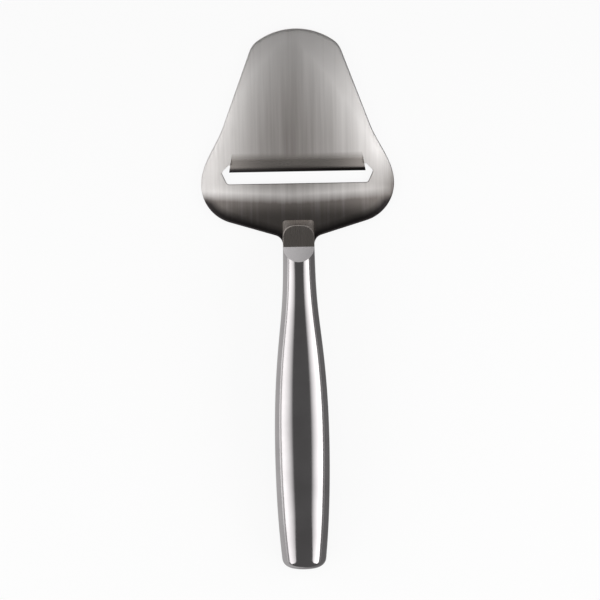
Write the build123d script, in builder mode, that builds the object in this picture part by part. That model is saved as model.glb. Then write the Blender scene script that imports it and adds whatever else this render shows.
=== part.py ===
from build123d import *
import math
import os

# Cheese slicer with a stamped steel head and a hollow steel handle.
# Lengths are in millimetres and angles in degrees. X runs across the head, +Y towards its tip,
# and +Z up. The slicer lies on its cutting lip and on the end of its handle, and the origin is
# on that surface, under the middle of the whole length.

# Head, as lengths one after another from the tip back to the handle
tip_depth = 6.8               # from the tip to the sharp corners that end the tip's arc
side_length = 32.8            # straight tapering sides
flare_length = 23.6           # sides that flare out to the widest place
shoulder_length = 12.2        # from the widest place to the sharp shoulder corner
rear_edge_depth = 10.1        # from the shoulder corner to the root of the neck
neck_length = 3.9             # from the root of the neck to the handle's front
blade_thickness = 1.2

# Head, as widths and corner radii
tip_width = 35.8
flare_start_width = 60.0
head_width = 78.8
neck_width = 12.8
tip_corner_radius = 9.0
shoulder_radius = 16.4
neck_root_radius = 4.0
rim_radius = 0.45             # the rim is rounded, top and bottom

# Slot and cutting lip: the slot's rear edge lies on the line of the widest place
slot_rear_overhang = 0.8      # the slot's rear edge runs past the lip's ends by this
slot_mouth_overhang = 3.1     # and the slot's widest place, beside the lip's edge, by this
slot_gap = 4.9                # from the lip's edge to the slot's rear edge
slot_corner_radius = 1.4
slit_depth = 2.8              # the slot's ends run on beside the lip by this
slit_gap = 0.3
lip_width = 55.8              # along the cutting edge
lip_taper = 1.4               # the lip narrows by this at each end, from its edge to its root
lip_length = 7.7
lip_angle = 10.5
lip_bend_radius = 12.0
lip_bevel_width = 1.25        # ground cutting bevel, on top of the lip's edge
lip_edge_thickness = 0.2
slot_edge_bevel = 0.3         # eased rear edge of the slot, which the slice slides over

# Rise of the blade's rear to the handle
slot_land = 4.9               # flat strip between the slot and the bend
neck_bend_radius = 34.0
neck_angle = 26.0

# Neck bar and its tang
bar_length = 11.1             # from the bar's front edge to the handle's front
bar_thickness = 3.0
nose_bevel_length = 3.8
nose_corner_radius = 1.2      # at the foot of the bevelled nose
nose_top_radius = 5.4         # at the top of the bevelled nose
bar_edge_radius = 0.35        # round the bar's top face
tang_width = 8.0
tang_thickness = 2.0
tang_bend_radius = 30.0
tang_angle = 6.0
tang_straight = 24.0
tang_clearance = 0.1          # round the tang where it passes the handle's front wall

# Handle
handle_length = 130.6
handle_width = 22.0
handle_height = 14.8
handle_front_height = 12.8
handle_wall = 1.0
handle_end_angle = 13.0
handle_end_radius = 3.4
front_bevel_angle = 47.0
front_drop = 0.5              # from the bar's top down to the middle of the handle's front
seam_drop = 0.6               # the shells' seam lies below the handle's widest line
filler_length = 45.0
filler_clearance = 0.1

# Stations along the handle: share of its length from the front, share of the swell from the
# neck's width to the full width, and share of the swell from the front's height to the full
handle_station_shares = [
    (0.000, 0.00, 0.00),
    (0.165, 0.15, 0.10),
    (0.322, 0.60, 0.40),
    (0.478, 0.92, 0.80),
    (0.660, 1.00, 1.00),
    (0.790, 0.91, 0.90),
    (0.915, 0.70, 0.55),
    (1.000, 0.48, 0.40),
]
overrun = 5.0                 # how far cutting shapes reach past what they cut

# Places worked out from the sizes above
head_length = (
    tip_depth + side_length + flare_length + shoulder_length + rear_edge_depth + neck_length
)
overall_length = head_length + handle_length
tip_y = overall_length / 2
handle_front_y = tip_y - head_length
handle_back_y = -overall_length / 2
widest_y = tip_y - tip_depth - side_length - flare_length
slot_rear_y = widest_y
lip_edge_y = slot_rear_y + slot_gap
lip_root_y = lip_edge_y + lip_length
bend_y = slot_rear_y - slot_land


def sine(angle):
    """Sine of an angle in degrees."""
    return math.sin(math.radians(angle))


def cosine(angle):
    """Cosine of an angle in degrees."""
    return math.cos(math.radians(angle))


def tangent(angle):
    """Tangent of an angle in degrees."""
    return math.tan(math.radians(angle))


# The lip hangs from its bend down to the surface, which sets how high the sheet lies
sheet_z = lip_length * tangent(lip_angle) + lip_bend_radius - lip_bend_radius / cosine(lip_angle)
sheet_top_z = sheet_z + blade_thickness

# The bend turns the sheet up to the neck's slope, and a straight run reaches into the handle
neck_rise_y = bend_y - neck_bend_radius * sine(neck_angle)
neck_rise_z = sheet_z + neck_bend_radius * (1 - cosine(neck_angle))
neck_z = neck_rise_z + (neck_rise_y - handle_front_y) * tangent(neck_angle)
tang_bend_y = handle_front_y - handle_wall - (blade_thickness + bar_thickness) * sine(neck_angle)
neck_run = (neck_rise_y - tang_bend_y) / cosine(neck_angle)
bar_top_z = neck_z + (blade_thickness + bar_thickness) / cosine(neck_angle)


def neck_line(rise):
    """Draw the side line at a height above the sheet's underside, from the tip to the tang's end."""
    flat = Line((tip_y, sheet_z + rise), (bend_y, sheet_z + rise))
    up = JernArc(flat @ 1, flat % 1, neck_bend_radius - rise, -neck_angle)
    run = Line(up @ 1, (up @ 1) + (up % 1) * neck_run)
    back = JernArc(run @ 1, run % 1, tang_bend_radius + rise, neck_angle - tang_angle)
    tang = Line(back @ 1, (back @ 1) + (back % 1) * tang_straight)
    return flat @ 0, tang @ 1


def strip_lines(low, high):
    """Draw the side view of the band between two heights above the sheet's underside."""
    low_start, low_end = neck_line(low)
    high_start, high_end = neck_line(high)
    Line(low_start, high_start)
    Line(low_end, high_end)


# Plane of the handle's front, facing the blade
handle_front = Plane((0, handle_front_y, 0), x_dir=(-1, 0, 0), z_dir=(0, 1, 0))

# Corners of the head's right half before rounding, from the tip back to the neck
tip_corner = Vector(tip_width / 2, tip_y - tip_depth)
flare_start = Vector(flare_start_width / 2, tip_corner.Y - side_length)
widest = Vector(head_width / 2, widest_y)
shoulder = Vector(head_width / 2, widest_y - shoulder_length)
neck_root = Vector(neck_width / 2, shoulder.Y - rear_edge_depth)


def on_flare(face):
    """Whether a wall is one of the head's flared sides, outside the slot."""
    return abs(face.center().X) > slot_mouth_x


# Half widths of the slot at its rear edge and at its widest place, and of the lip at its root
slot_rear_x = lip_width / 2 + slot_rear_overhang
slot_mouth_x = lip_width / 2 + slot_mouth_overhang
lip_root_x = lip_width / 2 - lip_taper

# Lip: the sheet bent down to its ground edge, and narrowed towards its root
with BuildPart() as lip:
    with BuildSketch(Plane.YZ):
        with BuildLine():
            under_bend = JernArc((lip_root_y, sheet_z), (-1, 0), lip_bend_radius, lip_angle)
            Line(under_bend @ 1, (lip_edge_y, 0))
            over_bend = JernArc(
                (lip_root_y, sheet_top_z), (-1, 0), lip_bend_radius + blade_thickness, lip_angle
            )
            bevel_top_y = lip_edge_y + lip_bevel_width
            bevel_top_z = (over_bend @ 1).Y - ((over_bend @ 1).X - bevel_top_y) * tangent(lip_angle)
            Polyline(
                over_bend @ 1,
                (bevel_top_y, bevel_top_z),
                (lip_edge_y, lip_edge_thickness),
                (lip_edge_y, 0),
            )
            Line((lip_root_y, sheet_z), (lip_root_y, sheet_top_z))
        make_face()
    extrude(amount=lip_width / 2, both=True)
    with BuildSketch() as lip_plan:
        Polygon(
            (-lip_width / 2, lip_edge_y),
            (lip_width / 2, lip_edge_y),
            (lip_root_x, lip_root_y),
            (-lip_root_x, lip_root_y),
            align=None,
        )
    extrude(amount=sheet_top_z, mode=Mode.INTERSECT)

# Blade: one sheet, cut to its outline, with the slot stamped out and the lip bent down
with BuildPart() as blade:
    with BuildSketch(Plane.YZ):
        with BuildLine():
            strip_lines(0, blade_thickness)
        make_face()
    extrude(amount=head_width, both=True)

    with BuildSketch() as outline:
        with BuildLine() as right_half:
            ThreePointArc((-tip_corner.X, tip_corner.Y), (0, tip_y), tip_corner)
            Line(tip_corner, flare_start)
            Spline(flare_start, widest, tangents=[flare_start - tip_corner, (0, -1)])
            Polyline(widest, shoulder, neck_root, (neck_root.X, handle_front_y), (0, handle_front_y))
            mirror(right_half.line.edges()[1:], about=Plane.YZ)
        make_face()
        for corner, radius in (
            (tip_corner, tip_corner_radius),
            (shoulder, shoulder_radius),
            (neck_root, neck_root_radius),
        ):
            fillet(outline.vertices().filter_by_position(Axis.Y, corner.Y, corner.Y), radius)
    extrude(amount=neck_z + overrun, mode=Mode.INTERSECT)

    with BuildSketch() as slot:
        Polygon(
            (-slot_rear_x, slot_rear_y),
            (slot_rear_x, slot_rear_y),
            (slot_mouth_x, lip_edge_y),
            (lip_width / 2 + slit_gap, lip_edge_y + slit_depth),
            (-lip_width / 2 - slit_gap, lip_edge_y + slit_depth),
            (-slot_mouth_x, lip_edge_y),
            align=None,
        )
        fillet(slot.vertices().group_by(Axis.Y)[0], slot_corner_radius)
        fillet(slot.vertices().group_by(Axis.X)[0], slot_corner_radius)
        fillet(slot.vertices().group_by(Axis.X)[-1], slot_corner_radius)
    extrude(amount=sheet_top_z + overrun, mode=Mode.SUBTRACT)
    extrude(to_extrude=lip_plan.sketch, amount=sheet_top_z + overrun, mode=Mode.SUBTRACT)
    add(lip.part)

    slot_edges = blade.edges().filter_by(
        lambda e: slot_rear_y <= e.center().Y < lip_edge_y
        and abs(e.center().X) < slot_mouth_x
        and e.length > blade_thickness
        and e.center().Z > lip_edge_thickness
    )
    chamfer(slot_edges, slot_edge_bevel)
    level_faces = blade.faces().filter_by(lambda f: abs(f.normal_at().Z) > sine(neck_angle))
    rim_walls = blade.faces().filter_by(
        lambda f: abs(f.normal_at().Z) < sine(lip_angle)
        and f.center().Y > handle_front_y + rim_radius
        and (f.center().Y < slot_rear_y or f.center().Y > lip_root_y or on_flare(f))
    )
    fillet(rim_walls.edges() & level_faces.edges(), rim_radius)
blade.part.label = "blade"

# Neck bar: a bevelled nose on the blade's rear, and a narrower tang behind its shoulders
neck_plane = Plane(
    (0, handle_front_y, neck_z), x_dir=(1, 0, 0), z_dir=(0, sine(neck_angle), cosine(neck_angle))
)
nose_y = handle_front_y + bar_length
nose_turn = math.degrees(math.asin((bend_y - nose_y) / (neck_bend_radius - blade_thickness)))
nose_z = sheet_top_z + (neck_bend_radius - blade_thickness) * (1 - cosine(nose_turn))
nose_foot = neck_plane.to_local_coords(Vector(0, nose_y, nose_z))
nose_lean = nose_bevel_length / (blade_thickness + bar_thickness - nose_foot.Z)
nose_reach = nose_foot.Y + (nose_foot.Z - blade_thickness) * nose_lean

with BuildPart() as neck_bar:
    for height, reach, radius in (
        (blade_thickness, nose_reach, nose_corner_radius),
        (blade_thickness + bar_thickness, nose_foot.Y - nose_bevel_length, nose_top_radius),
    ):
        with BuildSketch(neck_plane.offset(height)) as level:
            with Locations((0, reach)):
                Rectangle(neck_width, bar_length * 2, align=(Align.CENTER, Align.MAX))
            fillet(level.vertices().group_by(Axis.Y)[-1], radius)
    loft(ruled=True)
    split(bisect_by=handle_front, keep=Keep.TOP)
    with BuildSketch(Plane.YZ):
        with BuildLine():
            strip_lines(blade_thickness, blade_thickness + 2 * bar_thickness)
        make_face()
    extrude(amount=neck_width, both=True, mode=Mode.INTERSECT)
    neck_normal = Axis(neck_plane.origin, neck_plane.z_dir)
    bar_top = neck_bar.faces().filter_by(neck_normal).sort_by(Axis.Z)[-1]
    fillet(bar_top.edges().sort_by(Axis.Y)[1:], bar_edge_radius)
    with BuildSketch(Plane.YZ):
        with BuildLine():
            strip_lines(blade_thickness, blade_thickness + tang_thickness)
        make_face()
        with Locations((handle_front_y, neck_z)):
            Rectangle(
                handle_length, head_length, align=(Align.MAX, Align.CENTER), mode=Mode.INTERSECT
            )
    extrude(amount=tang_width / 2, both=True)
neck_bar.part.label = "neck_bar"

# Handle's centre line: one arc from the rounded end, which lies on the surface, to the front
end_half_height = (
    handle_front_height + (handle_height - handle_front_height) * handle_station_shares[-1][2]
) / 2
end_inner = end_half_height - handle_end_radius
axis_back = (
    handle_back_y
    + handle_end_radius * (1 - cosine(handle_end_angle))
    + end_inner * sine(handle_end_angle),
    handle_end_radius
    + end_inner * cosine(handle_end_angle)
    - handle_end_radius * sine(handle_end_angle),
)
with BuildLine(Plane.YZ) as handle_axis:
    axis_arc = TangentArc(
        axis_back,
        (handle_front_y, bar_top_z - front_drop),
        tangent=(cosine(handle_end_angle), sine(handle_end_angle)),
    )


def station_plane(place_share, inset):
    """Plane across the handle at a share of its length, kept inside both ends by the inset."""
    back = min(max(place_share * axis_arc.length, inset), axis_arc.length - inset)
    centre = axis_arc @ (1 - back / axis_arc.length)
    if place_share == 0:
        return Plane((0, handle_front_y - inset, centre.Z), x_dir=(-1, 0, 0), z_dir=(0, 1, 0))
    return Plane(centre, x_dir=(-1, 0, 0), z_dir=axis_arc % (1 - back / axis_arc.length))


def handle_form(inset):
    """The handle's solid form, made smaller by an inset all round."""
    with BuildPart() as form:
        for place_share, width_share, height_share in handle_station_shares:
            width = neck_width + (handle_width - neck_width) * width_share
            height = handle_front_height + (handle_height - handle_front_height) * height_share
            with BuildSketch(station_plane(place_share, inset)):
                Ellipse(width / 2 - inset, height / 2 - inset)
        loft()
        fillet(form.faces().sort_by(Axis.Y)[0].edges(), handle_end_radius - inset)
        with BuildSketch(Plane.YZ):
            front_normal = Vector(sine(front_bevel_angle), cosine(front_bevel_angle))
            foot = Vector(handle_front_y, bar_top_z) - front_normal * inset
            reach = Vector(-front_normal.Y, front_normal.X) * (2 * handle_height)
            Polygon(
                foot,
                foot + reach,
                (handle_front_y + overrun, (foot + reach).Y),
                (handle_front_y + overrun, foot.Y),
                align=None,
            )
        extrude(amount=handle_width, both=True, mode=Mode.SUBTRACT)
    return form.part


def parting_lines():
    """Draw the side view of the space above the seam, which follows the handle's centre line."""
    back, front = axis_arc @ 0, axis_arc @ 1
    drop = Vector(0, seam_drop)
    seam = TangentArc(
        Vector(back.Y, back.Z) - drop,
        Vector(front.Y, front.Z) - drop,
        tangent=(cosine(handle_end_angle), sine(handle_end_angle)),
    )
    front_reach = (seam @ 1) + (seam % 1) * overrun
    back_reach = (seam @ 0) - (seam % 0) * overrun
    Line(seam @ 1, front_reach)
    Polyline(
        front_reach,
        (front_reach.X, handle_length),
        (back_reach.X, handle_length),
        back_reach,
        seam @ 0,
    )


def tang_lines(clearance):
    """Draw the tang's side view with a clearance over and under it."""
    strip_lines(blade_thickness - clearance, blade_thickness + tang_thickness + clearance)


# Handle shells: the hollow form is parted along its seam, and the tang passes its front wall
with BuildPart() as hollow_handle:
    add(handle_form(0))
    add(handle_form(handle_wall), mode=Mode.SUBTRACT)
    with BuildSketch(Plane.YZ):
        with BuildLine():
            tang_lines(tang_clearance)
        make_face()
    extrude(amount=tang_width / 2 + tang_clearance, both=True, mode=Mode.SUBTRACT)

with BuildPart() as handle_upper_shell:
    add(hollow_handle.part)
    with BuildSketch(Plane.YZ):
        with BuildLine():
            parting_lines()
        make_face()
    extrude(amount=handle_width, both=True, mode=Mode.INTERSECT)
handle_upper_shell.part.label = "handle_upper_shell"

with BuildPart() as handle_lower_shell:
    add(hollow_handle.part)
    with BuildSketch(Plane.YZ):
        with BuildLine():
            parting_lines()
        make_face()
    extrude(amount=handle_width, both=True, mode=Mode.SUBTRACT)
handle_lower_shell.part.label = "handle_lower_shell"

# Filler: cement cast round the tang in the front of the handle
with BuildPart() as handle_filler:
    add(handle_form(handle_wall + filler_clearance))
    split(bisect_by=handle_front.offset(-filler_length), keep=Keep.TOP)
    with BuildSketch(Plane.YZ):
        with BuildLine():
            tang_lines(0)
        make_face()
    extrude(amount=tang_width / 2, both=True, mode=Mode.SUBTRACT)
handle_filler.part.label = "handle_filler"

os.makedirs("parts", exist_ok=True)
for piece in (blade, neck_bar, handle_upper_shell, handle_lower_shell, handle_filler):
    export_step(piece.part, f"parts/{piece.part.label}.step")
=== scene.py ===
import math

import bpy
import numpy as np
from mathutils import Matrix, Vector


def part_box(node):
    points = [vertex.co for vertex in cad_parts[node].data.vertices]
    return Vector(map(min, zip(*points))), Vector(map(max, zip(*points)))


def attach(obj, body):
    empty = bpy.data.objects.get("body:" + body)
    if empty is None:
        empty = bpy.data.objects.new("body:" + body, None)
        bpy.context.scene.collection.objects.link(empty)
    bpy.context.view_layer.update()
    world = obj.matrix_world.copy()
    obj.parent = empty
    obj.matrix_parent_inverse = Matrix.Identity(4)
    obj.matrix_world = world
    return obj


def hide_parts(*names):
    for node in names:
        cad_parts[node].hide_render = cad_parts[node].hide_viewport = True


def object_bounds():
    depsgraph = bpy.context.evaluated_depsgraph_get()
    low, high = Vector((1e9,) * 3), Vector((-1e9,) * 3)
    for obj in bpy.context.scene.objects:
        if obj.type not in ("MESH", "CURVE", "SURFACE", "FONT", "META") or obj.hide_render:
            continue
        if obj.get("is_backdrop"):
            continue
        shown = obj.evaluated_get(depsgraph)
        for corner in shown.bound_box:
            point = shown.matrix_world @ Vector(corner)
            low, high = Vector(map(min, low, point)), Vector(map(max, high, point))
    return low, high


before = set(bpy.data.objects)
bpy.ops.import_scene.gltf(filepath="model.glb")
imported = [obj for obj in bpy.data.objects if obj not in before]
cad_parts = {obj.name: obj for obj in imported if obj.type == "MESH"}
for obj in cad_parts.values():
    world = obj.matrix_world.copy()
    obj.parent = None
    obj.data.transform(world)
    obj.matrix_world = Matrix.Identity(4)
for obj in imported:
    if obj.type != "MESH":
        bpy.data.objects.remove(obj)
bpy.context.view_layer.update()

# Sizes are in millimetres unless a note says otherwise, and a finished mesh is in metres.
# X runs across the head, +Y towards its tip and +Z up. Angles are in degrees.
mm = 0.001
scene = bpy.context.scene
scene.view_settings.view_transform = "Standard"
bladeLow, bladeHigh = (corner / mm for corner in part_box("blade"))


def sine(angle):
    return math.sin(math.radians(angle))


def cosine(angle):
    return math.cos(math.radians(angle))


def tangent(angle):
    return math.tan(math.radians(angle))


# Mesh tools


# Surface over a grid: rings[i, j] is point j of closed loop i, quads join loop i to loop i + 1,
# and a cap joins points j and -j of an end loop, or j and -1 - j where the loop isn't mirrored.
def makePiece(name, rings, capStart=True, capEnd=True, mirrored=True):
    rings = np.asarray(rings, float)
    count, around = rings.shape[:2]
    i, j = np.meshgrid(np.arange(count - 1), np.arange(around), indexing="ij")
    here = i * around
    after = (j + 1) % around
    quads = np.stack([here + j, here + after, here + around + after, here + around + j], -1)
    faces = [quads.reshape(-1, 4)]
    step = 0 if mirrored else 1
    half = np.arange(around // 2 - step)
    cap = np.stack([half, half + 1, (-half - 1 - step) % around, (-half - step) % around], -1)
    if capStart:
        faces.append(cap[:, ::-1])
    if capEnd:
        faces.append((count - 1) * around + cap)
    return meshObject(name, rings.reshape(-1, 3), np.concatenate(faces))


# Mesh from points in millimetres and quads, with doubles merged and normals turned outwards.
def meshObject(name, points, quads, sharpAngle=32.0):
    mesh = bpy.data.meshes.new(name)
    _, first, same = np.unique(np.round(points, 4), axis=0, return_index=True, return_inverse=True)
    quads = same.reshape(-1)[quads]
    faces = []
    for quad in quads.tolist():
        corners = list(dict.fromkeys(quad))
        if len(corners) > 2:
            faces.append(corners)
    mesh.from_pydata((points[first] * mm).tolist(), [], faces)
    mesh.validate()
    piece = bpy.data.objects.new(name, mesh)
    scene.collection.objects.link(piece)
    bpy.context.view_layer.objects.active = piece
    piece.select_set(True)
    bpy.ops.object.mode_set(mode="EDIT")
    bpy.ops.mesh.select_all(action="SELECT")
    bpy.ops.mesh.normals_make_consistent(inside=False)
    bpy.ops.object.mode_set(mode="OBJECT")
    piece.select_set(False)
    mesh.polygons.foreach_set("use_smooth", np.ones(len(mesh.polygons), bool))
    mesh.set_sharp_from_angle(angle=math.radians(sharpAngle))
    addGrainMap(mesh)
    return piece


# UV map whose U is X and V is Y, in metres, so that the grain runs lengthwise.
def addGrainMap(mesh):
    corners = np.zeros(len(mesh.loops), np.int32)
    mesh.loops.foreach_get("vertex_index", corners)
    places = np.zeros(len(mesh.vertices) * 3)
    mesh.vertices.foreach_get("co", places)
    layer = mesh.uv_layers.new(name="grain")
    layer.data.foreach_set("uv", places.reshape(-1, 3)[corners, :2].reshape(-1))


# Arc of a radius that rounds a corner: it starts and ends radius * tan(turn / 2) from the corner.
def cornerArc(before, corner, after, radius, steps=10):
    before, corner, after = (np.asarray(p, float) for p in (before, corner, after))
    into = (corner - before) / np.linalg.norm(corner - before)
    out = (after - corner) / np.linalg.norm(after - corner)
    if radius == 0:
        return corner[None]
    turn = math.atan2(into[0] * out[1] - into[1] * out[0], into @ out)
    start = corner - into * radius * math.tan(abs(turn) / 2)
    side = np.array([-into[1], into[0]]) * np.sign(turn)
    angles = np.linspace(0, abs(turn), steps + 1)[:, None]
    return start + radius * (np.sin(angles) * into + (1 - np.cos(angles)) * side)


# Blade


# The sizes are those of the CAD blade. The rear's walls lean back to stand square to the slope over
# leanRun from the front, the sheet's rows spread from ringCentre ahead of the lip's edge, and the last
# row before the rounded rim is rimBand inside the outline.
blade = {
    "tipDepth": 6.8, "sideLength": 32.8, "flareLength": 23.6, "shoulderLength": 12.2,
    "rearEdgeDepth": 10.1,
    "tipWidth": 35.8, "flareStartWidth": 60.0, "headWidth": 78.8, "neckWidth": 12.8,
    "tipCornerRadius": 9.0, "shoulderRadius": 16.4, "neckRootRadius": 4.0,
    "thickness": 1.2, "rimRadius": 0.45, "slotEdge": 0.3,
    "slotWidth": 57.4, "slotMouthWidth": 62.0, "slotGap": 4.9, "slotCornerRadius": 1.4,
    "slitDepth": 2.8, "slitGap": 0.3,
    "slotLand": 4.9, "bendRadius": 34.0, "neckSlope": 26.0,
    "leanRun": 5.0, "ringCentre": 1.0, "rimBand": 1.4,
}
lip = {
    "width": 55.8, "taper": 1.4, "length": 7.7, "slope": 10.5, "bendRadius": 12.0,
    "bevelWidth": 1.25, "edgeThickness": 0.2,
}

tipY = bladeHigh[1]
frontY = bladeLow[1]
slotRearY = tipY - blade["tipDepth"] - blade["sideLength"] - blade["flareLength"]
lipEdgeY = slotRearY + blade["slotGap"]
lipRootY = lipEdgeY + lip["length"]
bendY = slotRearY - blade["slotLand"]
sheetZ = lip["length"] * tangent(lip["slope"]) - lip["bendRadius"] * (1 / cosine(lip["slope"]) - 1)


# Height of the sheet at a lift above its underside: flat, then a circle's arc of the bend radius
# less the lift, then a straight slope.
def sheetHeight(y, lift):
    radius = blade["bendRadius"] - lift
    reach = radius * sine(blade["neckSlope"])
    back = np.clip(bendY - y, 0, reach)
    arc = blade["bendRadius"] - np.sqrt(radius ** 2 - back ** 2)
    slope = np.maximum(bendY - y - reach, 0) * tangent(blade["neckSlope"])
    return sheetZ + arc + slope


# Right half of the outline from the tip back to the neck: arc, rounded corner, line, Hermite curve,
# rounded shoulder, line, rounded root and line.
def bladeOutline():
    b = blade
    corner = np.array([b["tipWidth"] / 2, tipY - b["tipDepth"]])
    flare = np.array([b["flareStartWidth"] / 2, corner[1] - b["sideLength"]])
    widest = np.array([b["headWidth"] / 2, slotRearY])
    shoulder = np.array([b["headWidth"] / 2, slotRearY - b["shoulderLength"]])
    root = np.array([b["neckWidth"] / 2, shoulder[1] - b["rearEdgeDepth"]])
    end = np.array([root[0], frontY])

    tipRadius = (corner[0] ** 2 + b["tipDepth"] ** 2) / (2 * b["tipDepth"])
    centre = np.array([0, tipY - tipRadius])
    along = (flare - corner) / np.linalg.norm(flare - corner)
    inward = np.array([along[1], -along[0]])
    base = corner + inward * b["tipCornerRadius"] - centre
    reach = tipRadius - b["tipCornerRadius"]
    shift = -(base @ along) - math.sqrt((base @ along) ** 2 - base @ base + reach ** 2)
    pivot = centre + base + along * shift
    first = math.atan2(*(pivot - centre)[::-1])
    last = math.atan2(*(-inward)[::-1])
    turn = np.linspace(math.pi / 2, first, 30)
    tip = centre + tipRadius * np.stack([np.cos(turn), np.sin(turn)], -1)
    turn = np.linspace(first, last, 12)[1:]
    rounded = pivot + b["tipCornerRadius"] * np.stack([np.cos(turn), np.sin(turn)], -1)
    side = rounded[-1] + (flare - rounded[-1]) * np.linspace(0, 1, 24)[1:, None]

    chord = np.linalg.norm(widest - flare)
    t = np.linspace(0, 1, 24)[1:, None]
    curve = (
        (2 * t ** 3 - 3 * t ** 2 + 1) * flare + (t ** 3 - 2 * t ** 2 + t) * chord * along
        + (3 * t ** 2 - 2 * t ** 3) * widest + (t ** 3 - t ** 2) * chord * np.array([0, -1.0])
    )
    bend = cornerArc(widest, shoulder, root, b["shoulderRadius"], 20)
    neck = cornerArc(shoulder, root, end, b["neckRootRadius"], 10)
    rear = bend[-1] + (neck[0] - bend[-1]) * np.linspace(0, 1, 20)[1:, None]
    half = np.concatenate([tip, rounded, side, curve, bend, rear, neck[1:], end[None]])
    mirrored = half[::-1] * [-1, 1]
    across = np.linspace(1, -1, 9)[1:-1, None] * [b["neckWidth"] / 2, 0] + [0, frontY]
    return np.concatenate([half, across, mirrored[:-1]])


def lipHalfWidth(y):
    return lip["width"] / 2 - lip["taper"] * (y - lipEdgeY) / lip["length"]


# Outline of the slot with the window that the lip is bent down from, clockwise from the top.
def windowOutline():
    b = blade
    corners = [
        ((lipHalfWidth(lipRootY), lipRootY), 0),
        ((lipHalfWidth(lipEdgeY + b["slitDepth"]), lipEdgeY + b["slitDepth"]), 0),
        ((lip["width"] / 2 + b["slitGap"], lipEdgeY + b["slitDepth"]), 0),
        ((b["slotMouthWidth"] / 2, lipEdgeY), b["slotCornerRadius"]),
        ((b["slotWidth"] / 2, slotRearY), b["slotCornerRadius"]),
    ]
    corners += [((-x, y), radius) for (x, y), radius in corners[::-1]]
    places = [corner for corner, _ in corners]
    path = []
    for index, (corner, radius) in enumerate(corners):
        before, after = places[index - 1], places[(index + 1) % len(places)]
        path.append(cornerArc(before, corner, after, radius, 6))
    return np.concatenate(path)


# Point where the ray from the centre at each angle meets the outline's straight pieces.
def atAngles(outline, centre, angles):
    arms = outline - centre
    bearing = np.unwrap(np.arctan2(arms[:, 0], arms[:, 1]))
    order = np.argsort(np.mod(bearing, 2 * math.pi))
    arms, bearing = arms[order], np.mod(bearing, 2 * math.pi)[order]
    arms = np.concatenate([arms[-1:], arms, arms[:1]])
    bearing = np.concatenate([bearing[-1:] - 2 * math.pi, bearing, bearing[:1] + 2 * math.pi])
    index = np.clip(np.searchsorted(bearing, angles, side="right") - 1, 0, len(bearing) - 2)
    first, step = arms[index], arms[index + 1] - arms[index]
    ray = np.stack([np.sin(angles), np.cos(angles)], -1)
    cross = step[:, 0] * ray[:, 1] - step[:, 1] * ray[:, 0]
    cross = np.where(abs(cross) < 1e-12, 1e-12, cross)
    share = (first[:, 1] * ray[:, 0] - first[:, 0] * ray[:, 1]) / cross
    return centre + first + step * np.clip(share, 0, 1)[:, None]


# Closed loop moved inwards, to the right of its clockwise path, by a distance along its normal.
def inset(loop, distance):
    step = np.roll(loop, -1, 0) - np.roll(loop, 1, 0)
    normal = np.stack([step[:, 1], -step[:, 0]], -1) / np.linalg.norm(step, axis=1)[:, None]
    return loop + normal * distance


# Ring-shaped sheet: a point is between the outer and the window outline at the same bearing, lifted
# to the sheet's top or underside, with a quarter circle round the outer rim's edges.
def bladeSheet():
    centre = np.array([0, lipEdgeY + blade["ringCentre"]])
    outer, window = bladeOutline(), windowOutline()
    bearings = [np.arctan2((path - centre)[:, 0], (path - centre)[:, 1]) for path in (outer, window)]
    angles = np.unique(np.round(np.mod(np.concatenate(bearings), 2 * math.pi), 6))
    outer, window = atAngles(outer, centre, angles), atAngles(window, centre, angles)
    thickness, rim, edge = blade["thickness"], blade["rimRadius"], blade["slotEdge"]
    eased = np.where(window[:, 1] > lipEdgeY, 0, edge)[:, None]
    softened = inset(window, -1) * eased + window * (1 - eased)
    rows = []
    inner = inset(outer, blade["rimBand"])
    for share in np.linspace(0, 1, 41):
        rows.append((softened + (inner - softened) * share, 0, 1))
    rows.append((inset(outer, rim), 0, 1))
    for turn in np.linspace(0, 90, 7)[1:]:
        rows.append((inset(outer, rim * (1 - sine(turn))), -rim * (1 - cosine(turn)), 1))
    for turn in np.linspace(90, 0, 7):
        rows.append((inset(outer, rim * (1 - sine(turn))), rim * (1 - cosine(turn)), 0))
    for share in np.linspace(1, 0, 17)[1:]:
        flat = softened + (inset(outer, rim) - softened) * share
        rows.append((flat, 0, 0))
    rows.append((window, eased[:, 0], 0))
    rows.append((window, -eased[:, 0], 1))
    rings = []
    for flat, shift, top in rows + rows[:1]:
        lift = thickness * top + shift
        slope = np.clip((bendY - flat[:, 1]) / blade["bendRadius"], 0, sine(blade["neckSlope"]))
        lean = lift * slope * np.clip((flat[:, 1] - frontY) / blade["leanRun"], 0, 1)
        y = flat[:, 1] + lean
        rings.append(np.column_stack([flat[:, 0], y, sheetHeight(y, thickness * top) + shift]))
    return np.array(rings)


# Top and underside of the lip from its root to its edge, as (y, z): an arc, a line and the bevel.
def lipProfile():
    topZ = sheetZ + blade["thickness"]
    slope, radius, thickness = lip["slope"], lip["bendRadius"], blade["thickness"]
    turns = np.linspace(0, slope, 9)
    outer = radius + thickness
    over = [(lipRootY - outer * sine(turn), topZ - outer * (1 - cosine(turn))) for turn in turns]
    under = [(lipRootY - radius * sine(turn), sheetZ - radius * (1 - cosine(turn))) for turn in turns]
    bevelY = lipEdgeY + lip["bevelWidth"]
    bevelZ = over[-1][1] - (over[-1][0] - bevelY) * tangent(slope)
    topEnd = np.array([bevelY, bevelZ])
    edge = np.array([lipEdgeY, lip["edgeThickness"]])
    line = np.array(over[-1]) + (topEnd - over[-1]) * np.linspace(0, 1, 6)[1:, None]
    bevel = topEnd + (edge - topEnd) * np.linspace(0, 1, 3)[1:, None]
    top = np.concatenate([over, line, bevel])
    foot = np.array([lipEdgeY, 0.0])
    line = np.array(under[-1]) + (foot - under[-1]) * np.linspace(0, 1, 8)[1:, None]
    bottom = np.concatenate([under, line])
    return top, bottom


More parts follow.
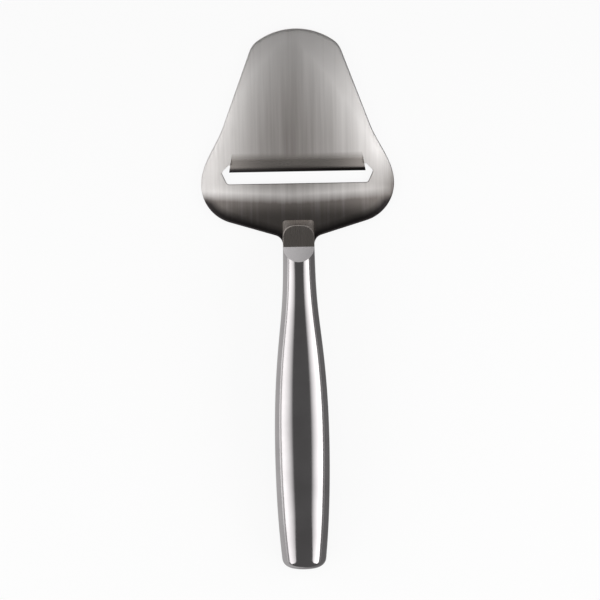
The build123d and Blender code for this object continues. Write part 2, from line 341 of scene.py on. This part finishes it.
# Ribbon: the profile carried straight across X, with each loop running along the top and back below.
def lipSheet():
    top, bottom = lipProfile()
    rings = []
    for share in np.linspace(-1, 1, 41):
        loop = np.concatenate([top, bottom[::-1]])
        rings.append(np.column_stack([share * lipHalfWidth(loop[:, 0]), loop]))
    return np.array(rings)


sheetPiece = makePiece("blade_sheet", bladeSheet(), capStart=False, capEnd=False)
lipPiece = makePiece("blade_lip", lipSheet(), mirrored=False)
print("blade:", len(sheetPiece.data.polygons), "faces, lip:", len(lipPiece.data.polygons))


# Neck bar


bar = {
    "length": 11.1, "thickness": 3.0, "noseBevel": 3.8, "footRadius": 1.2, "topRadius": 5.4,
    "edgeRadius": 0.35, "sink": 0.2, "intoHandle": 1.0,
}


# Loop in the plane of the neck's slope at a lift above the sheet's top: a rectangle from the handle
# to a reach, with its front corners rounded, clockwise from the middle of its front.
def barLoop(reach, radius, lift):
    halfWidth = blade["neckWidth"] / 2
    slope = blade["neckSlope"]
    rise = blade["thickness"] + lift
    backY = -(bar["intoHandle"] + rise * sine(slope)) / cosine(slope)
    square = [(-halfWidth, backY), (-halfWidth, reach), (halfWidth, reach), (halfWidth, backY)]
    corner = cornerArc(square[1], square[2], square[3], radius, 12)
    front = np.linspace(0, 1, 8)[:-1, None] * (corner[0] - [0, reach]) + [0, reach]
    side = corner[-1] + np.linspace(0, 1, 8)[1:, None] * (np.array(square[3]) - corner[-1])
    back = np.array(square[3]) + np.linspace(0, 1, 6)[1:, None] * [-halfWidth, 0]
    half = np.concatenate([front, corner, side, back])
    flat = np.concatenate([half, half[-2:0:-1] * [-1, 1]])
    foot = sheetHeight(np.array([frontY]), 0)[0]
    y = frontY + flat[:, 1] * cosine(slope) + rise * sine(slope)
    z = foot - flat[:, 1] * sine(slope) + rise * cosine(slope)
    return np.column_stack([flat[:, 0], y, z])


# Stack of loops from the foot to the top: the front leans back in a straight bevel, and a quarter
# circle rounds the top's edge.
def neckBar():
    slope, thickness = blade["neckSlope"], bar["thickness"]
    noseY = frontY + bar["length"]
    noseZ = sheetHeight(np.array([noseY]), blade["thickness"])[0]
    foot = sheetHeight(np.array([frontY]), 0)[0]
    along = (noseY - frontY) * cosine(slope) - (noseZ - foot) * sine(slope)
    lift = (noseY - frontY) * sine(slope) + (noseZ - foot) * cosine(slope) - blade["thickness"]
    lean = bar["noseBevel"] / (thickness - lift)
    edge = bar["edgeRadius"]
    levels = [(share * (thickness - edge), 0) for share in np.linspace(0, 1, 9)]
    for turn in np.linspace(0, 90, 6)[1:]:
        levels.append((thickness - edge * (1 - sine(turn)), edge * (1 - cosine(turn))))
    levels = [(-bar["sink"], 0)] + levels
    rings = []
    for level, shrink in levels:
        share = level / thickness
        reach = along + (lift - level) * lean
        radius = bar["footRadius"] + (bar["topRadius"] - bar["footRadius"]) * max(share, 0)
        loop = barLoop(reach - shrink, radius, level)
        loop[:, 0] *= 1 - shrink / (blade["neckWidth"] / 2)
        rings.append(loop)
    return np.array(rings)


barPiece = makePiece("neck_bar_body", neckBar())
print("neck bar:", len(barPiece.data.polygons), "faces")


# Handle


# Each station is a share of the length from the front, a share of the swell from the neck's width to
# the full width, and a share of the swell from the front's height to the full height.
handle = {
    "length": 130.6, "width": 22.0, "height": 14.8, "frontHeight": 12.8,
    "endSlope": 13.0, "endRadius": 3.4, "frontBevel": 47.0, "frontDrop": 0.5, "seamDrop": 0.6,
    "stations": [
        (0.000, 0.00, 0.00), (0.165, 0.15, 0.10), (0.322, 0.60, 0.40), (0.478, 0.92, 0.80),
        (0.660, 1.00, 1.00), (0.790, 0.91, 0.90), (0.915, 0.70, 0.55), (1.000, 0.48, 0.40),
    ],
    "rows": 150, "around": 72, "bevelReachShare": 0.2,
}


# Natural cubic spline through the values, as a function: its second derivatives solve the usual
# tridiagonal equations and are zero at both ends.
def splineThrough(places, values):
    places, values = np.asarray(places, float), np.asarray(values, float)
    gap = np.diff(places)
    size = len(places)
    matrix, right = np.eye(size), np.zeros(size)
    for k in range(1, size - 1):
        matrix[k, k - 1:k + 2] = gap[k - 1], 2 * (gap[k - 1] + gap[k]), gap[k]
        right[k] = 6 * ((values[k + 1] - values[k]) / gap[k] - (values[k] - values[k - 1]) / gap[k - 1])
    bend = np.linalg.solve(matrix, right)

    def at(place):
        k = np.clip(np.searchsorted(places, place, side="right") - 1, 0, size - 2)
        left, step = place - places[k], gap[k]
        rest = step - left
        return (
            (bend[k] * rest ** 3 + bend[k + 1] * left ** 3) / (6 * step)
            + (values[k] / step - bend[k] * step / 6) * rest
            + (values[k + 1] / step - bend[k + 1] * step / 6) * left
        )

    return at


barRise = (blade["thickness"] + bar["thickness"]) / cosine(blade["neckSlope"])
barTopZ = sheetHeight(np.array([frontY]), 0)[0] + barRise
shares, widthShares, heightShares = np.array(handle["stations"]).T
widths = blade["neckWidth"] + (handle["width"] - blade["neckWidth"]) * widthShares
heights = handle["frontHeight"] + (handle["height"] - handle["frontHeight"]) * heightShares
halfWidthAt = splineThrough(shares, widths / 2)
halfHeightAt = splineThrough(shares, heights / 2)
backY = frontY - handle["length"]
endRadius, endSlope = handle["endRadius"], handle["endSlope"]
endInner = heights[-1] / 2 - endRadius
axisBack = np.array([
    backY + endRadius * (1 - cosine(endSlope)) + endInner * sine(endSlope),
    endRadius + endInner * cosine(endSlope) - endRadius * sine(endSlope),
])
axisFront = np.array([frontY, barTopZ - handle["frontDrop"]])
axisChord = axisFront - axisBack
axisStart = np.array([cosine(endSlope), sine(endSlope)])
axisNormal = np.array([-axisStart[1], axisStart[0]])
axisRadius = axisChord @ axisChord / (2 * (axisChord @ axisNormal))
axisTurn = 2 * math.atan2(axisChord @ axisNormal, axisChord @ axisStart)
axisLength = axisRadius * axisTurn
tilts = math.radians(endSlope) + axisTurn * (1 - shares)
tiltAt = splineThrough(shares, np.append(0, tilts[1:]))


# Point of the handle's skin: an ellipse square to the centre line, which is one arc from the back,
# made smaller by a shrink. The angle goes from the top round to the right.
def handlePoint(share, angle, shrink):
    turn = axisTurn * (1 - share)
    centre = axisBack + axisRadius * (
        np.sin(turn)[..., None] * axisStart + (1 - np.cos(turn))[..., None] * axisNormal
    )
    across = (halfWidthAt(share) - shrink) * np.sin(angle)
    rise = (halfHeightAt(share) - shrink) * np.cos(angle)
    tilt = tiltAt(share)
    y = centre[..., 0] - rise * np.sin(tilt)
    z = centre[..., 1] + rise * np.cos(tilt)
    return np.stack([across, y, z], -1)


# Share of the handle's length at which each lengthwise line meets the bevelled front, by halving the
# range that reaches past the bevel.
def frontShare(angle):
    slope = handle["frontBevel"]
    low, high = np.zeros_like(angle), np.full_like(angle, handle["bevelReachShare"])

    def past(share):
        point = handlePoint(share, angle, 0)
        return (point[..., 1] - frontY) * sine(slope) + (point[..., 2] - barTopZ) * cosine(slope)

    flat = past(low) <= 0
    for _ in range(40):
        half = (low + high) / 2
        inside = past(half) <= 0
        high, low = np.where(inside, half, high), np.where(inside, low, half)
    return np.where(flat, 0, high)


# Half of the handle above or below the seam: lengthwise lines from the flat end round its edge's
# quarter circle to the front, closed along the seam by a flat face.
def handleShell(upper):
    around, radius = handle["around"], endRadius
    frontHeight = handle["frontHeight"] / 2
    seamAngle = math.pi / 2 + math.asin(handle["seamDrop"] / frontHeight)
    bevelAngle = math.acos(handle["frontDrop"] / frontHeight)
    half = np.linspace(0, 1, around + 1)
    rings = []
    run = np.linspace(0, 1, handle["rows"])[1:]
    turns = np.radians(np.linspace(0, 90, 12))
    depths = np.concatenate([radius * (1 - np.cos(turns)), radius + (axisLength - radius) * run])
    shrinks = np.concatenate([radius * (1 - np.sin(turns)), 0 * run])
    for index, (depth, shrink) in enumerate(zip(depths, shrinks)):
        share = np.full(around + 1, 1 - depth / axisLength)
        seam = math.pi / 2 + np.arcsin(handle["seamDrop"] / (halfHeightAt(share) - shrink))
        if upper:
            angle = seam * half
            edge = np.argmin(abs(half * seamAngle - bevelAngle))
            pull = np.interp(half, [0, half[edge], 1], [0, 1, 0])
            angle = angle + (bevelAngle - seamAngle * half[edge]) * pull
        else:
            angle = math.pi - (math.pi - seam) * half
        limit = frontShare(angle)
        reach = (depth - radius) / (axisLength - radius) if depth > radius else 0
        share = share + limit * reach
        skin = handlePoint(share, angle, shrink)
        skin[:, 2] = np.maximum(skin[:, 2], 0)
        inner = skin[-1] * [0, 1, 1] + np.linspace(1, 0, 9)[1:, None] * skin[-1] * [1, 0, 0]
        side = np.concatenate([skin, inner])
        rings.append(np.concatenate([side, side[-2:0:-1] * [-1, 1, 1]]))
    return np.array(rings)


upperPiece = makePiece("handle_upper_skin", handleShell(True))
lowerPiece = makePiece("handle_lower_skin", handleShell(False))
print("handle:", len(upperPiece.data.polygons) + len(lowerPiece.data.polygons), "faces")


# Materials


# Shader node group with named sockets: (name, kind, value) in, (name, kind) out.
def newGroup(name, inputs, outputs):
    group = bpy.data.node_groups.new(name, "ShaderNodeTree")
    for label, kind, value in inputs:
        socket = group.interface.new_socket(name=label, in_out="INPUT", socket_type="NodeSocket" + kind)
        if value is not None:
            socket.default_value = value
    for label, kind in outputs:
        group.interface.new_socket(name=label, in_out="OUTPUT", socket_type="NodeSocket" + kind)
    return group, group.nodes.new("NodeGroupInput").outputs, group.nodes.new("NodeGroupOutput").inputs


# Node of a kind with its settings; links gives a value or a socket for each named or numbered input.
def addNode(tree, kind, links=(), **settings):
    node = tree.nodes.new("ShaderNode" + kind)
    for key, value in settings.items():
        setattr(node, key, value)
    for key, value in dict(links).items():
        if isinstance(value, bpy.types.NodeSocket):
            tree.links.new(value, node.inputs[key])
        else:
            node.inputs[key].default_value = value
    return node


def calculate(tree, operation, first, second=0.0, third=0.0):
    node = addNode(tree, "Math", {0: first, 1: second, 2: third}, operation=operation)
    return node.outputs[0]


def remap(tree, value, low, high, newLow, newHigh):
    given = {"Value": value, "From Min": low, "From Max": high, "To Min": newLow, "To Max": newHigh}
    return addNode(tree, "MapRange", given).outputs["Result"]


# Lengthwise brushing: three noises, each stretched along Y and put out on its own.
def grainGroup():
    group, given, out = newGroup(
        "lengthwiseGrain",
        [("Vector", "Vector", None), ("Fine Width", "Float", 0.0002), ("Streak Width", "Float", 0.0012),
         ("Band Width", "Float", 0.006), ("Stretch", "Float", 40.0)],
        [("Fine", "Float"), ("Streaks", "Float"), ("Bands", "Float")],
    )
    parts = addNode(group, "SeparateXYZ", {0: given["Vector"]}).outputs
    for width, output, seed in (
        ("Fine Width", "Fine", 3.1),
        ("Streak Width", "Streaks", 7.7),
        ("Band Width", "Bands", 12.3),
    ):
        across = calculate(group, "DIVIDE", parts["X"], given[width])
        length = calculate(group, "MULTIPLY", given[width], given["Stretch"])
        along = calculate(group, "DIVIDE", parts["Y"], length)
        place = addNode(group, "CombineXYZ", {"X": across, "Y": along, "Z": seed}).outputs[0]
        noise = addNode(group, "TexNoise", {"Vector": place, "Scale": 1.0, "Roughness": 0.6})
        group.links.new(noise.outputs["Fac"], out[output])
    return group


# Soft wiping marks: one low noise and one stretched noise, as a mask about one half.
def smudgeGroup():
    group, given, out = newGroup(
        "softSmudges",
        [("Vector", "Vector", None), ("Size", "Float", 0.02)],
        [("Mask", "Float"), ("Scratches", "Float")],
    )
    scaled = addNode(group, "VectorMath", {0: given["Vector"], 1: given["Size"]}, operation="DIVIDE")
    low = addNode(group, "TexNoise", {"Vector": scaled.outputs[0], "Scale": 1.0, "Detail": 3.0})
    group.links.new(low.outputs["Fac"], out["Mask"])
    fine = addNode(group, "TexNoise", {"Vector": scaled.outputs[0], "Scale": 45.0, "Distortion": 1.5})
    group.links.new(fine.outputs["Fac"], out["Scratches"])
    return group


grainNodes, smudgeNodes = grainGroup(), smudgeGroup()


# A group in a material, with the object's own coordinates as its vector.
def placeGroup(tree, group, **values):
    node = tree.nodes.new("ShaderNodeGroup")
    node.node_tree = group
    tree.links.new(addNode(tree, "TexCoord").outputs["Object"], node.inputs["Vector"])
    for key, value in values.items():
        node.inputs[key].default_value = value
    return node.outputs


# Material with a Principled BSDF whose constants stay on its own sockets.
def newMaterial(name, **constants):
    material = bpy.data.materials.new(name)
    material.use_nodes = True
    tree = material.node_tree
    shader = tree.nodes["Principled BSDF"]
    for key, value in constants.items():
        shader.inputs[key.replace("_", " ")].default_value = value
    return material, tree, shader


def mixColour(tree, share, first, second):
    node = addNode(tree, "Mix", data_type="RGBA")
    for key, value in ((0, share), (6, first), (7, second)):
        if isinstance(value, bpy.types.NodeSocket):
            tree.links.new(value, node.inputs[key])
        else:
            node.inputs[key].default_value = value
    return node.outputs[2]


brushed = {
    "dark": (0.24, 0.215, 0.20, 1), "light": (0.98, 0.95, 0.93, 1), "anisotropy": 0.95,
    "streakShare": 0.16, "streakLow": 0.72, "streakHigh": 1.28, "fineLow": 0.3, "fineHigh": 0.7,
    "roughLow": 0.34, "roughHigh": 0.46, "bump": 0.12, "depth": 0.00002, "camber": -4.0,
    "sideCamber": -1600.0,
    # The last colour below is a near-black painted shade for the rear's edge and the lip's bevel.
    "ground": (0.37, 0.34, 0.315, 1), "groundRoughness": 0.24, "edgePaintedShade": (0.045, 0.04, 0.04, 1),
}


# Stainless steel brushed lengthwise: streaks change its tone, and the fine grain its roughness and
# bump. A second bump bends the normals outwards, as a camber whose height is camber * x ** 2 plus
# sideCamber * x ** 4, in metres.
def brushedSteel(name, look):
    material, tree, shader = newMaterial(name, Metallic=1.0, Anisotropic=look["anisotropy"])
    grain = placeGroup(tree, grainNodes)
    both = calculate(tree, "ADD", grain["Streaks"], grain["Bands"])
    # Painted shade: a near-black colour on the rear's edge and the lip's bevel, by the layer read here.
    edgePaintedShade = addNode(tree, "Attribute", attribute_name="edgePaintedShade").outputs["Fac"]
    groundEdge = addNode(tree, "Attribute", attribute_name="ground").outputs["Fac"]
    # Painted light and shade: the tone layer lightens or darkens the steel by how light falls on it.
    face = addNode(tree, "Attribute", attribute_name="tone").outputs["Fac"]
    streaks = remap(tree, both, look["streakLow"], look["streakHigh"], -0.5, 0.5)
    streaky = calculate(tree, "MULTIPLY_ADD", streaks, look["streakShare"], face)
    tone = mixColour(tree, streaky, look["dark"], look["light"])
    tone = mixColour(tree, groundEdge, tone, look["ground"])
    tree.links.new(mixColour(tree, edgePaintedShade, tone, look["edgePaintedShade"]), shader.inputs["Base Color"])
    fine = (look["fineLow"], look["fineHigh"], look["roughLow"], look["roughHigh"])
    rough = remap(tree, grain["Fine"], *fine)
    rough = addNode(tree, "Mix", {0: groundEdge, 2: rough, 3: look["groundRoughness"]}).outputs[0]
    tree.links.new(rough, shader.inputs["Roughness"])
    across = addNode(tree, "SeparateXYZ", {0: addNode(tree, "TexCoord").outputs["Object"]}).outputs["X"]
    square = calculate(tree, "MULTIPLY", across, across)
    camber = calculate(tree, "MULTIPLY_ADD", square, look["sideCamber"], look["camber"])
    camber = calculate(tree, "MULTIPLY", camber, square)
    strength = calculate(tree, "MULTIPLY_ADD", groundEdge, -look["bump"], look["bump"])
    given = {"Strength": strength, "Distance": look["depth"], "Height": grain["Fine"]}
    bump = addNode(tree, "Bump", given)
    curved = addNode(tree, "Bump", {"Strength": 1.0, "Distance": 1.0, "Height": camber})
    tree.links.new(curved.outputs["Normal"], bump.inputs["Normal"])
    tree.links.new(bump.outputs["Normal"], shader.inputs["Normal"])
    direction = addNode(tree, "Tangent", direction_type="UV_MAP", uv_map="grain")
    tree.links.new(direction.outputs["Tangent"], shader.inputs["Tangent"])
    return material


# The third colour is a painted reflection, lighter, on the handle's flat front.
polished = {
    "low": (0.465, 0.445, 0.45, 1), "high": (0.535, 0.515, 0.52, 1), "facetPaintedLight": (0.90, 0.87, 0.88, 1),
    "roughLow": 0.07, "roughHigh": 0.13, "markSize": 0.018, "markLow": 0.35, "markHigh": 0.65,
}


# Mirror-polished stainless steel with faint wiping marks in its tone and roughness; its flat front is
# painted lighter, as a painted reflection.
def polishedSteel(name, look):
    material, tree, shader = newMaterial(name, Metallic=1.0)
    marks = placeGroup(tree, smudgeNodes, Size=look["markSize"])
    tone = remap(tree, marks["Mask"], look["markLow"], look["markHigh"], 0.0, 1.0)
    skin = mixColour(tree, tone, look["low"], look["high"])
    facetPaintedLight = addNode(tree, "Attribute", attribute_name="facetPaintedLight").outputs["Fac"]
    tree.links.new(mixColour(tree, facetPaintedLight, skin, look["facetPaintedLight"]), shader.inputs["Base Color"])
    spread = (look["markLow"], look["markHigh"], look["roughLow"], look["roughHigh"])
    tree.links.new(remap(tree, marks["Scratches"], *spread), shader.inputs["Roughness"])
    return material


cementLook = {
    "low": (0.45, 0.42, 0.36, 1), "high": (0.68, 0.64, 0.56, 1), "roughness": 0.9,
    "grainSize": 0.006, "pits": 0.5, "pitDepth": 0.0004,
}


# Pale cement with a grainy, pitted surface, hidden inside the handle.
def castCement(name, look):
    material, tree, shader = newMaterial(name, Roughness=look["roughness"])
    marks = placeGroup(tree, smudgeNodes, Size=look["grainSize"])
    tone = mixColour(tree, marks["Scratches"], look["low"], look["high"])
    tree.links.new(tone, shader.inputs["Base Color"])
    given = {"Strength": look["pits"], "Distance": look["pitDepth"], "Height": marks["Mask"]}
    bump = addNode(tree, "Bump", given)
    tree.links.new(bump.outputs["Normal"], shader.inputs["Normal"])
    return material


satin = dict(
    brushed, dark=(0.43, 0.39, 0.36, 1), light=(0.80, 0.74, 0.70, 1), streakShare=0.25,
    roughLow=0.24, roughHigh=0.34, anisotropy=0.6, camber=0.0, sideCamber=0.0,
)
bladeSteel = brushedSteel("brushedBladeSteel", brushed)
neckSteel = brushedSteel("satinNeckSteel", satin)
handleSteel = polishedSteel("polishedHandleSteel", polished)
cement = castCement("castCement", cementLook)


# The piece gets its material, rides on the one body and stands for its CAD nodes.
def dress(piece, slotName, material, *nodes):
    piece.data.materials.clear()
    piece.data.materials.append(material)
    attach(piece, "root")
    if nodes:
        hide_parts(*nodes)


# Attribute on the piece's points, or on its faces, worked out from their places in millimetres.
def addLayer(piece, name, value, onFaces=False):
    parts, key = (piece.data.polygons, "center") if onFaces else (piece.data.vertices, "co")
    places = np.zeros(len(parts) * 3)
    parts.foreach_get(key, places)
    layer = piece.data.attributes.new(name, "FLOAT", "FACE" if onFaces else "POINT")
    x, y, z = (places.reshape(-1, 3) / mm).T
    layer.data.foreach_set("value", np.clip(value(x, y, z), 0, 1).astype(np.float32))


# Tone layers of the steel, in millimetres and shares: painted light on the bar's nose, the lip's ground
# face, painted shade on the lip's edge and the rear's edge, a painted reflection on the handle's flat
# front, and painted light and shade on the brushed face.
tones = {
    "noseRun": 0.8,
    "groundRun": 3.2, "bevelLead": 1.2, "bevelRun": 1.5, "lipSides": 0.45,
    "edgeReach": 4.5, "edgeFade": 3.0, "edgeRun": 3.0,
    "facetDepth": 0.1,
    "darkestX": -2.5, "middle": 0.21, "sides": 0.79, "sidePower": 1.6,
    "tip": 0.74, "tipStart": 60.0, "tipRun": 45.0,
    "strip": 0.4, "stripRun": 4.0,
    "shade": 0.95, "shadeStart": 60.0, "shadeRun": 14.0, "shadePower": 4,
    "slope": 1.0, "slopeRun": 4.0, "slopeLead": 2.5,
}


# 1 on the lip's ground face, fading to 0 at its root.
def groundShare(x, y, z):
    return (lipRootY - y) / tones["groundRun"] + 0 * x


# Painted shade along the rear's edge: from 1 at the edge to 0 inside it, by the distance to the
# outline's nearest point.
def rearEdgePaintedShade(x, y, z):
    outline = bladeOutline()
    rear = outline[outline[:, 1] < bendY]
    steps = np.linspace(0, 1, 9)[:, None, None]
    path = (rear[:-1] + (rear[1:] - rear[:-1]) * steps).reshape(-1, 2)
    away = np.full(len(x), np.inf)
    for part in np.array_split(path, 40):
        away = np.minimum(away, np.hypot(x[:, None] - part[:, 0], y[:, None] - part[:, 1]).min(1))
    behind = np.clip((bendY - y) / tones["edgeRun"], 0, 1)
    return (tones["edgeReach"] - away) / tones["edgeFade"] * behind


# Painted shade on the lip: 1 at its cutting edge, fading to 0 ahead of its bevel, and darker towards
# the lip's ends.
def lipBevelPaintedShade(x, y, z):
    edge = (lipEdgeY + lip["bevelWidth"] + tones["bevelLead"] - y) / tones["bevelRun"]
    sides = tones["lipSides"] * np.abs(x) / lipHalfWidth(y) * np.clip(groundShare(x, y, z), 0, 1)
    return np.maximum(edge, sides)


# Painted light and shade on the brushed face: painted reflections make it lighter towards the sides,
# the tip and the strip behind the slot, and painted shade darkens the right shoulder and the rear
# slope.
def paintedLightAndShade(x, y, z):
    half = bladeOutline()
    half = half[half[:, 0] >= 0]
    order = np.argsort(half[:, 1])
    width = np.maximum(np.interp(y, half[order, 1], half[order, 0]), 1)
    across = np.clip(np.abs(x - tones["darkestX"]) / width, 0, 1)
    tip = np.clip((y - tones["tipStart"]) / tones["tipRun"], 0, 1)
    slope = np.clip((bendY + tones["slopeLead"] * across - y) / tones["slopeRun"], 0, 1)
    strip = np.clip((slotRearY - y) / tones["stripRun"], 0, 1) * (1 - across ** 2)
    tone = tones["middle"] + tones["sides"] * across ** tones["sidePower"]
    tone = tone + tones["tip"] * tip ** 2 + tones["strip"] * strip
    shade = np.clip((tones["shadeStart"] - y) / tones["shadeRun"], 0, 1)
    right = np.clip(x / (blade["headWidth"] / 2), 0, 1)
    tone = tone - tones["shade"] * shade * right ** tones["shadePower"]
    return tone * (1 - tones["slope"] * slope)


# Painted reflection on the handle's flat bevelled front: 1 there, 0 on its round skin.
def paintedFacetReflection(x, y, z):
    slope = handle["frontBevel"]
    past = (y - frontY) * sine(slope) + (z - barTopZ) * cosine(slope)
    return 1 + past / tones["facetDepth"]


# Painted light on the bar's bevelled nose: 1 on the nose, 0 on its top.
def nosePaintedLight(x, y, z):
    top = sheetHeight(y, blade["thickness"]) + bar["thickness"] / cosine(blade["neckSlope"])
    return (top - z) / tones["noseRun"]


# Painted light and shade go on as the tone, edge and facet layers; the ground layer is the lip's
# finish.
addLayer(sheetPiece, "tone", paintedLightAndShade)
addLayer(lipPiece, "tone", paintedLightAndShade)
addLayer(sheetPiece, "edgePaintedShade", rearEdgePaintedShade)
addLayer(lipPiece, "edgePaintedShade", lipBevelPaintedShade)
addLayer(lipPiece, "ground", groundShare)
addLayer(barPiece, "tone", nosePaintedLight)
addLayer(upperPiece, "facetPaintedLight", paintedFacetReflection, onFaces=True)
addLayer(lowerPiece, "facetPaintedLight", paintedFacetReflection, onFaces=True)
dress(sheetPiece, "brushed_blade", bladeSteel, "blade")
dress(lipPiece, "brushed_blade", bladeSteel, "blade")
dress(barPiece, "satin_neck", neckSteel, "neck_bar")
dress(upperPiece, "polished_handle", handleSteel, "handle_upper_shell")
dress(lowerPiece, "polished_handle", handleSteel, "handle_lower_shell")
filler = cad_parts["handle_filler"]
filler.data.materials.clear()
filler.data.materials.append(cement)
print("materials done")


# Studio


studio = {
    "floorSize": 8.0, "floorShare": 0.88, "floorColour": (0.93, 0.93, 0.93, 1), "floorRoughness": 0.9,
    "mirrorShare": 0.85, "mirrorLevels": (0.66, 0.1), "mirrorRun": 0.02,
    "zenith": 0.13, "horizon": (1.6, 0.3), "bandTop": 0.30, "darkBack": (-0.7, -0.2),
    "boxReach": 0.26, "boxBottom": 0.085, "boxHeight": 0.45, "boxFront": 0.13, "boxBack": -0.35,
    "boxLevels": (1.9, 2.3),
    "fadeLow": 0.15, "fadeHigh": 1.0,
    "topHeight": 1.6, "topSize": 1.6, "topLevel": 1.1,
}


# Flat floor whose own brightness shows to the camera over its shadow. In reflections it is dimmer, and
# lighter on the left than on the right.
def makeFloor():
    half = studio["floorSize"] / 2
    corners = [(-half, -half, 0), (half, -half, 0), (half, half, 0), (-half, half, 0)]
    mesh = bpy.data.meshes.new("floor")
    mesh.from_pydata(corners, [], [(0, 1, 2, 3)])
    floor = bpy.data.objects.new("floor", mesh)
    scene.collection.objects.link(floor)
    material = bpy.data.materials.new("paleFloor")
    material.use_nodes = True
    tree = material.node_tree
    shader = tree.nodes["Principled BSDF"]
    shader.inputs["Base Color"].default_value = studio["floorColour"]
    shader.inputs["Roughness"].default_value = studio["floorRoughness"]
    rays = addNode(tree, "LightPath").outputs
    mirrored = calculate(tree, "MAXIMUM", rays["Is Glossy Ray"], rays["Is Transmission Ray"])
    share = calculate(tree, "MULTIPLY", rays["Is Camera Ray"], studio["floorShare"])
    share = calculate(tree, "MULTIPLY_ADD", mirrored, studio["mirrorShare"], share)
    across = addNode(tree, "SeparateXYZ", {0: addNode(tree, "TexCoord").outputs["Object"]}).outputs["X"]
    level = remap(tree, across, -studio["mirrorRun"], studio["mirrorRun"], *studio["mirrorLevels"])
    strength = remap(tree, rays["Is Camera Ray"], 0.0, 1.0, level, 1.0)
    glow = addNode(tree, "Emission", {"Color": (1, 1, 1, 1), "Strength": strength})
    mix = addNode(tree, "MixShader", {0: share, 1: shader.outputs[0], 2: glow.outputs[0]})
    tree.links.new(mix.outputs[0], tree.nodes["Material Output"].inputs["Surface"])
    mesh.materials.append(material)
    floor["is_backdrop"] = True


# Dim studio: pale towards the horizon and dark overhead, by the height of each direction.
def makeWorld():
    world = bpy.data.worlds.new("studio")
    scene.world = world
    world.use_nodes = True
    tree = world.node_tree
    parts = addNode(tree, "SeparateXYZ", {0: addNode(tree, "TexCoord").outputs["Generated"]}).outputs
    low = remap(tree, parts["Z"], 0.0, studio["bandTop"], 1.0, 0.0)
    ahead = remap(tree, parts["Y"], *studio["darkBack"], 0.0, 1.0)
    sideways = remap(tree, parts["X"], -1.0, 1.0, *studio["horizon"])
    level = calculate(tree, "MULTIPLY", calculate(tree, "MULTIPLY", low, ahead), sideways)
    level = calculate(tree, "ADD", level, studio["zenith"])
    background = tree.nodes["Background"]
    tree.links.new(level, background.inputs["Strength"])
    background.inputs["Color"].default_value = (1, 1, 1, 1)


# Rectangular soft box that faces along its own -Z. Its level is how bright its surface looks, where 1
# is white, and its power in watts is pi times the level times its area. Where upwards is 1 or -1, it
# fades towards its upper edge, which its own X points to or away from.
def addLamp(name, place, turn, size, level, showsInMetal=True, upwards=0):
    light = bpy.data.lights.new(name, "AREA")
    light.shape = "RECTANGLE"
    light.size, light.size_y = size
    light.energy = math.pi * level * size[0] * size[1]
    if upwards:
        light.use_nodes = True
        tree = light.node_tree
        parts = addNode(tree, "SeparateXYZ", {0: addNode(tree, "NewGeometry").outputs["Parametric"]})
        along = parts.outputs["X"]
        if upwards < 0:
            along = calculate(tree, "SUBTRACT", 1.0, along)
        fade = remap(tree, along, studio["fadeLow"], studio["fadeHigh"], 1.0, 0.0)
        tree.links.new(fade, tree.nodes["Emission"].inputs["Strength"])
    lamp = bpy.data.objects.new(name, light)
    lamp.location = place
    lamp.rotation_euler = turn
    lamp.visible_glossy = showsInMetal
    scene.collection.objects.link(lamp)


makeFloor()
makeWorld()
boxSize = (studio["boxHeight"], studio["boxFront"] - studio["boxBack"])
for side in (-1, 1):
    boxPlace = (
        side * studio["boxReach"],
        (studio["boxFront"] + studio["boxBack"]) / 2,
        studio["boxBottom"] + studio["boxHeight"] / 2,
    )
    name = "sideBox" + ("Left" if side < 0 else "Right")
    boxTurn = (0, side * math.pi / 2, 0)
    addLamp(name, boxPlace, boxTurn, boxSize, studio["boxLevels"][side > 0], upwards=-side)
topPlace, topSize = (0, 0, studio["topHeight"]), (studio["topSize"], studio["topSize"])
addLamp("topFill", topPlace, (0, 0, 0), topSize, studio["topLevel"], showsInMetal=False)
print("studio done")


# Camera


photo = {
    "width": 600, "topX": 294.8, "topY": 27.5, "endX": 304.5, "endY": 568.2,
    "distance": 1.1, "sensor": 36.0,
}


# Camera straight above: the picture's scale and turn come from the slicer's two ends in it, and hold
# at a quarter of the slicer's height.
def setCamera():
    low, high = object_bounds()
    length = high[1] - low[1]
    ends = np.array([photo["endX"] - photo["topX"], photo["endY"] - photo["topY"]])
    pixel = length / np.linalg.norm(ends)
    turn = -math.atan2(ends[0], ends[1])
    right = np.array([math.cos(turn), math.sin(turn)])
    up = np.array([-math.sin(turn), math.cos(turn)])
    middle = np.array([(photo["topX"] + photo["endX"]) / 2, (photo["topY"] + photo["endY"]) / 2])
    offset = (photo["width"] / 2 - middle) * pixel
    place = np.array([0, (low[1] + high[1]) / 2]) + right * offset[0] - up * offset[1]
    camera = bpy.data.objects.new("camera", bpy.data.cameras.new("camera"))
    camera.location = (*place, photo["distance"])
    camera.rotation_euler = (0, 0, turn)
    camera.data.sensor_width = photo["sensor"]
    camera.data.lens = photo["sensor"] * (photo["distance"] - high[2] / 4) / (photo["width"] * pixel)
    scene.collection.objects.link(camera)
    scene.camera = camera


setCamera()
